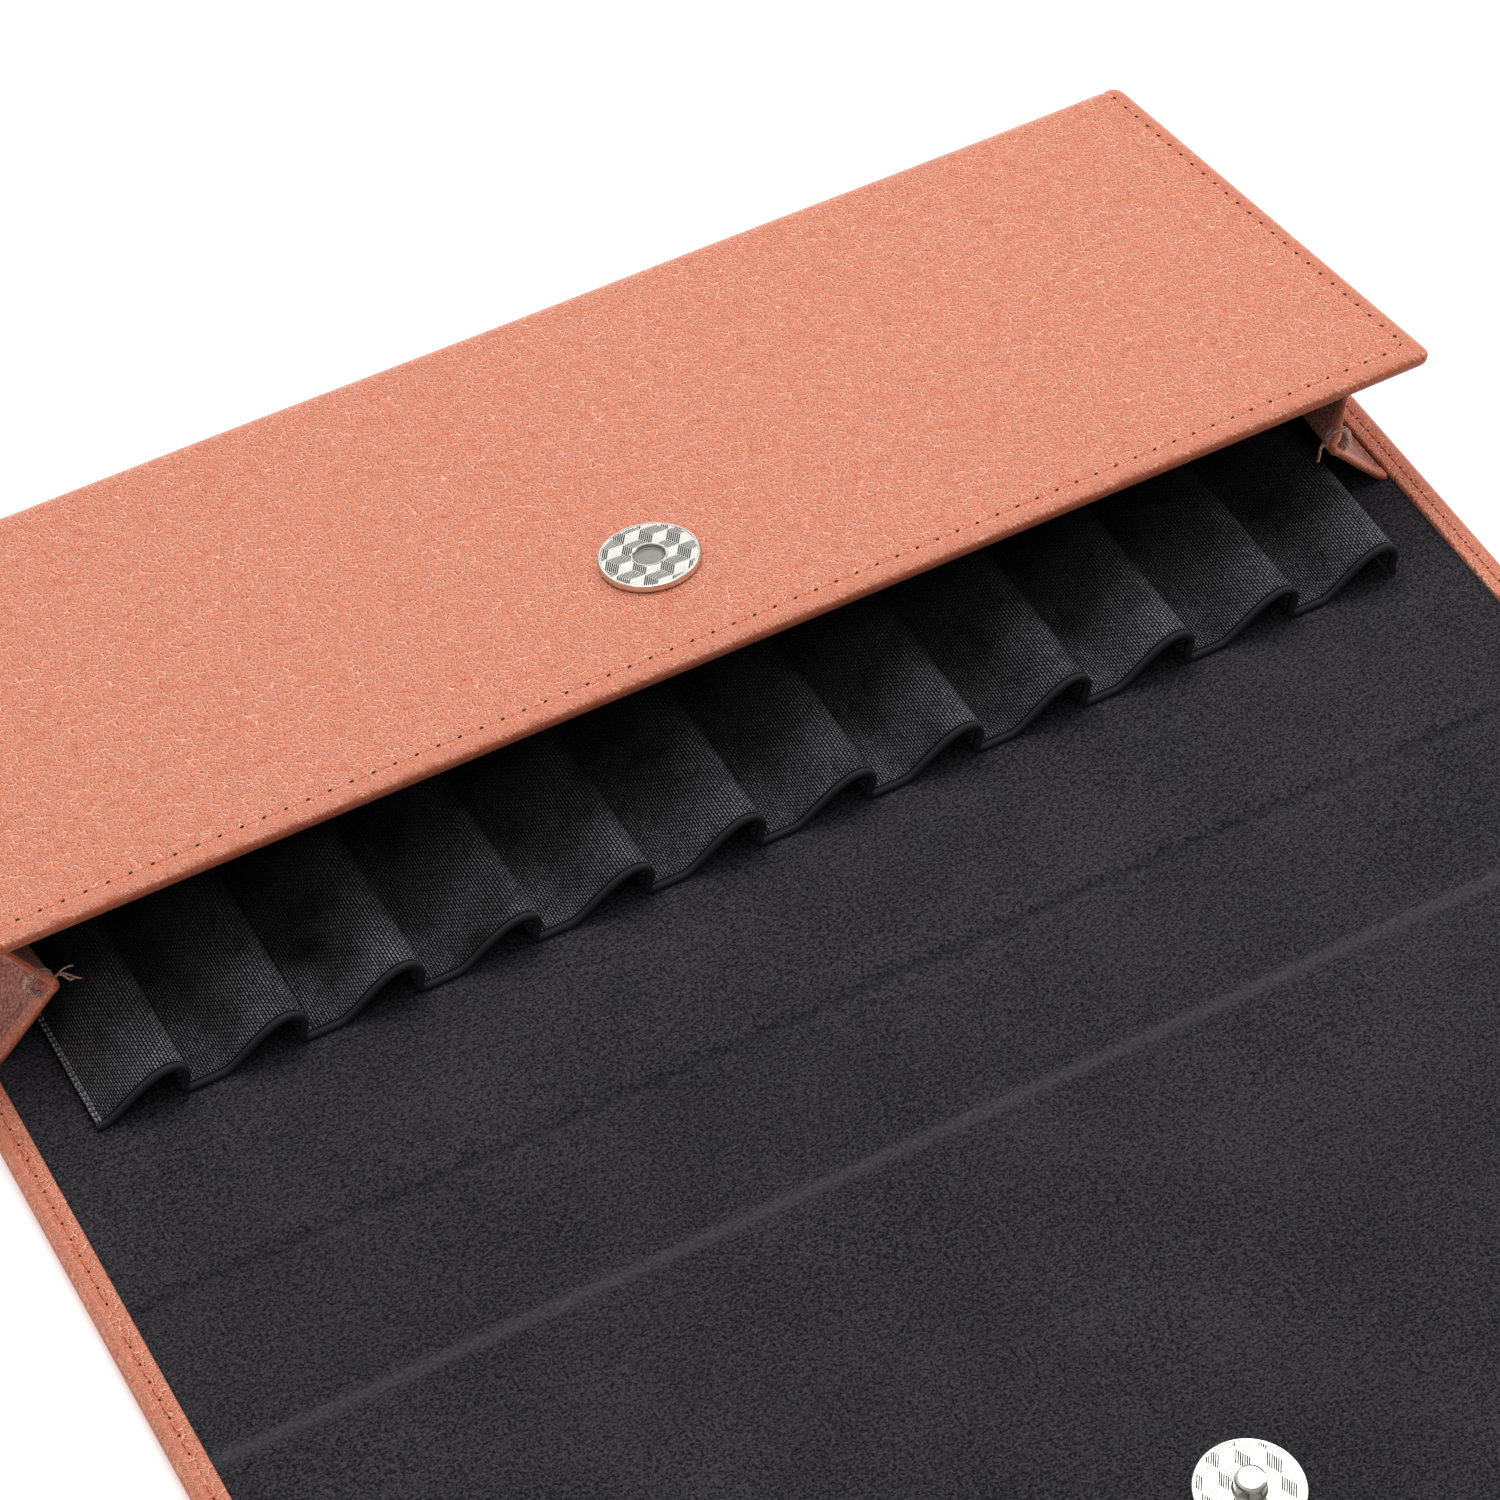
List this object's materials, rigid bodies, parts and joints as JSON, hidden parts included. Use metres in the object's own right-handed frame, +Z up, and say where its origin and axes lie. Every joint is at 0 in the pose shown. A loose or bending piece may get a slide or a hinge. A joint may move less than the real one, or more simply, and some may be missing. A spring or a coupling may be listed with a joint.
{
  "type": "fountain pen case",
  "caption": "Clutch-style leather fountain pen case with a folding flap, gusseted pocket, row of elastic pen loops and magnetic snap, lying open on its back.",
  "frame": {"origin": "centre of the bounding box at the surface the open case lies on", "axes": "+X across the case, +Y from the free end of the flap towards the bottom fold, +Z up"},
  "size_m": [0.286, 0.3042, 0.0329],
  "materials": {
    "black_thread": "black polyester thread",
    "board": "stiff fibre board, unpainted",
    "elastic": "black woven elastic, ribbed",
    "gusset_leather": "thin soft leather, pinkish brown",
    "leather": "pebbled, semi-gloss, cognac",
    "lining": "black microfibre suede, matt",
    "magnet": "bare ferrite-grey",
    "snap_metal": "nickel plated, engraved geometric pattern",
    "thread": "waxed polyester thread, cognac"
  },
  "bodies": {
    "back": {"back_leather": "leather", "back_board": "board", "back_lining": "lining", "bottom_fold_leather": "leather", "bottom_fold_lining": "lining", "back_edge_thread": "thread", "pen_loop_01": "elastic", "pen_loop_02": "elastic", "pen_loop_03": "elastic", "pen_loop_04": "elastic", "pen_loop_05": "elastic", "pen_loop_06": "elastic", "pen_loop_07": "elastic", "pen_loop_08": "elastic", "pen_loop_09": "elastic", "pen_loop_10": "elastic", "pen_loop_11": "elastic", "pen_loop_12": "elastic", "loop_tack_thread": "black_thread"},
    "spine": {"spine_leather": "leather", "spine_board": "board", "spine_lining": "lining", "spine_edge_thread": "thread"},
    "flap": {"flap_leather": "leather", "flap_board": "board", "flap_lining": "lining", "flap_edge_thread": "thread", "snap_stud": "snap_metal", "snap_stud_washer": "snap_metal"},
    "front_panel": {"front_leather": "leather", "front_board": "board", "front_lining": "lining", "front_edge_thread": "thread", "snap_socket": "snap_metal", "snap_magnet": "magnet", "snap_socket_washer": "snap_metal"},
    "gusset_left_lower": {"gusset_left_lower": "gusset_leather"},
    "gusset_left_upper": {"gusset_left_upper": "gusset_leather", "gusset_left_tack": "thread"},
    "gusset_right_lower": {"gusset_right_lower": "gusset_leather"},
    "gusset_right_upper": {"gusset_right_upper": "gusset_leather", "gusset_right_tack": "thread"}
  },
  "joints": [
    {"name": "spine_fold", "type": "hinge", "parent": "back", "child": "spine", "pos_m": [0, -0.0105, 0.0028], "axis": [-1, 0, 0], "range_deg": [0, 90]},
    {"name": "flap_fold", "type": "hinge", "parent": "spine", "child": "flap", "pos_m": [0, -0.0421, 0.0028], "axis": [-1, 0, 0], "range_deg": [0, 90]},
    {"name": "front_panel_fold", "type": "hinge", "parent": "back", "child": "front_panel", "pos_m": [0, 0.1451, 0.007], "axis": [-1, 0, 0], "range_deg": [-3, 0]},
    {"name": "gusset_left_lower_fold", "type": "hinge", "parent": "back", "child": "gusset_left_lower", "pos_m": [-0.137, 0, 0.0041], "axis": [0, -1, 0], "range_deg": [-12, 0.5]},
    {"name": "gusset_left_upper_fold", "type": "hinge", "parent": "front_panel", "child": "gusset_left_upper", "pos_m": [-0.137, 0.00298, 0.03639], "axis": [0, 0.9831, -0.1829], "range_deg": [-12, 0.5]},
    {"name": "gusset_right_lower_fold", "type": "hinge", "parent": "back", "child": "gusset_right_lower", "pos_m": [0.137, 0, 0.0041], "axis": [0, 1, 0], "range_deg": [-12, 0.5]},
    {"name": "gusset_right_upper_fold", "type": "hinge", "parent": "front_panel", "child": "gusset_right_upper", "pos_m": [0.137, 0.00298, 0.03639], "axis": [0, -0.9831, 0.1829], "range_deg": [-12, 0.5]}
  ],
  "couplings": [
    {"joint": "gusset_left_lower_fold", "follows": "front_panel_fold", "ratio": 3.8},
    {"joint": "gusset_left_upper_fold", "follows": "front_panel_fold", "ratio": 3.8},
    {"joint": "gusset_right_lower_fold", "follows": "front_panel_fold", "ratio": 3.8},
    {"joint": "gusset_right_upper_fold", "follows": "front_panel_fold", "ratio": 3.8}
  ]
}
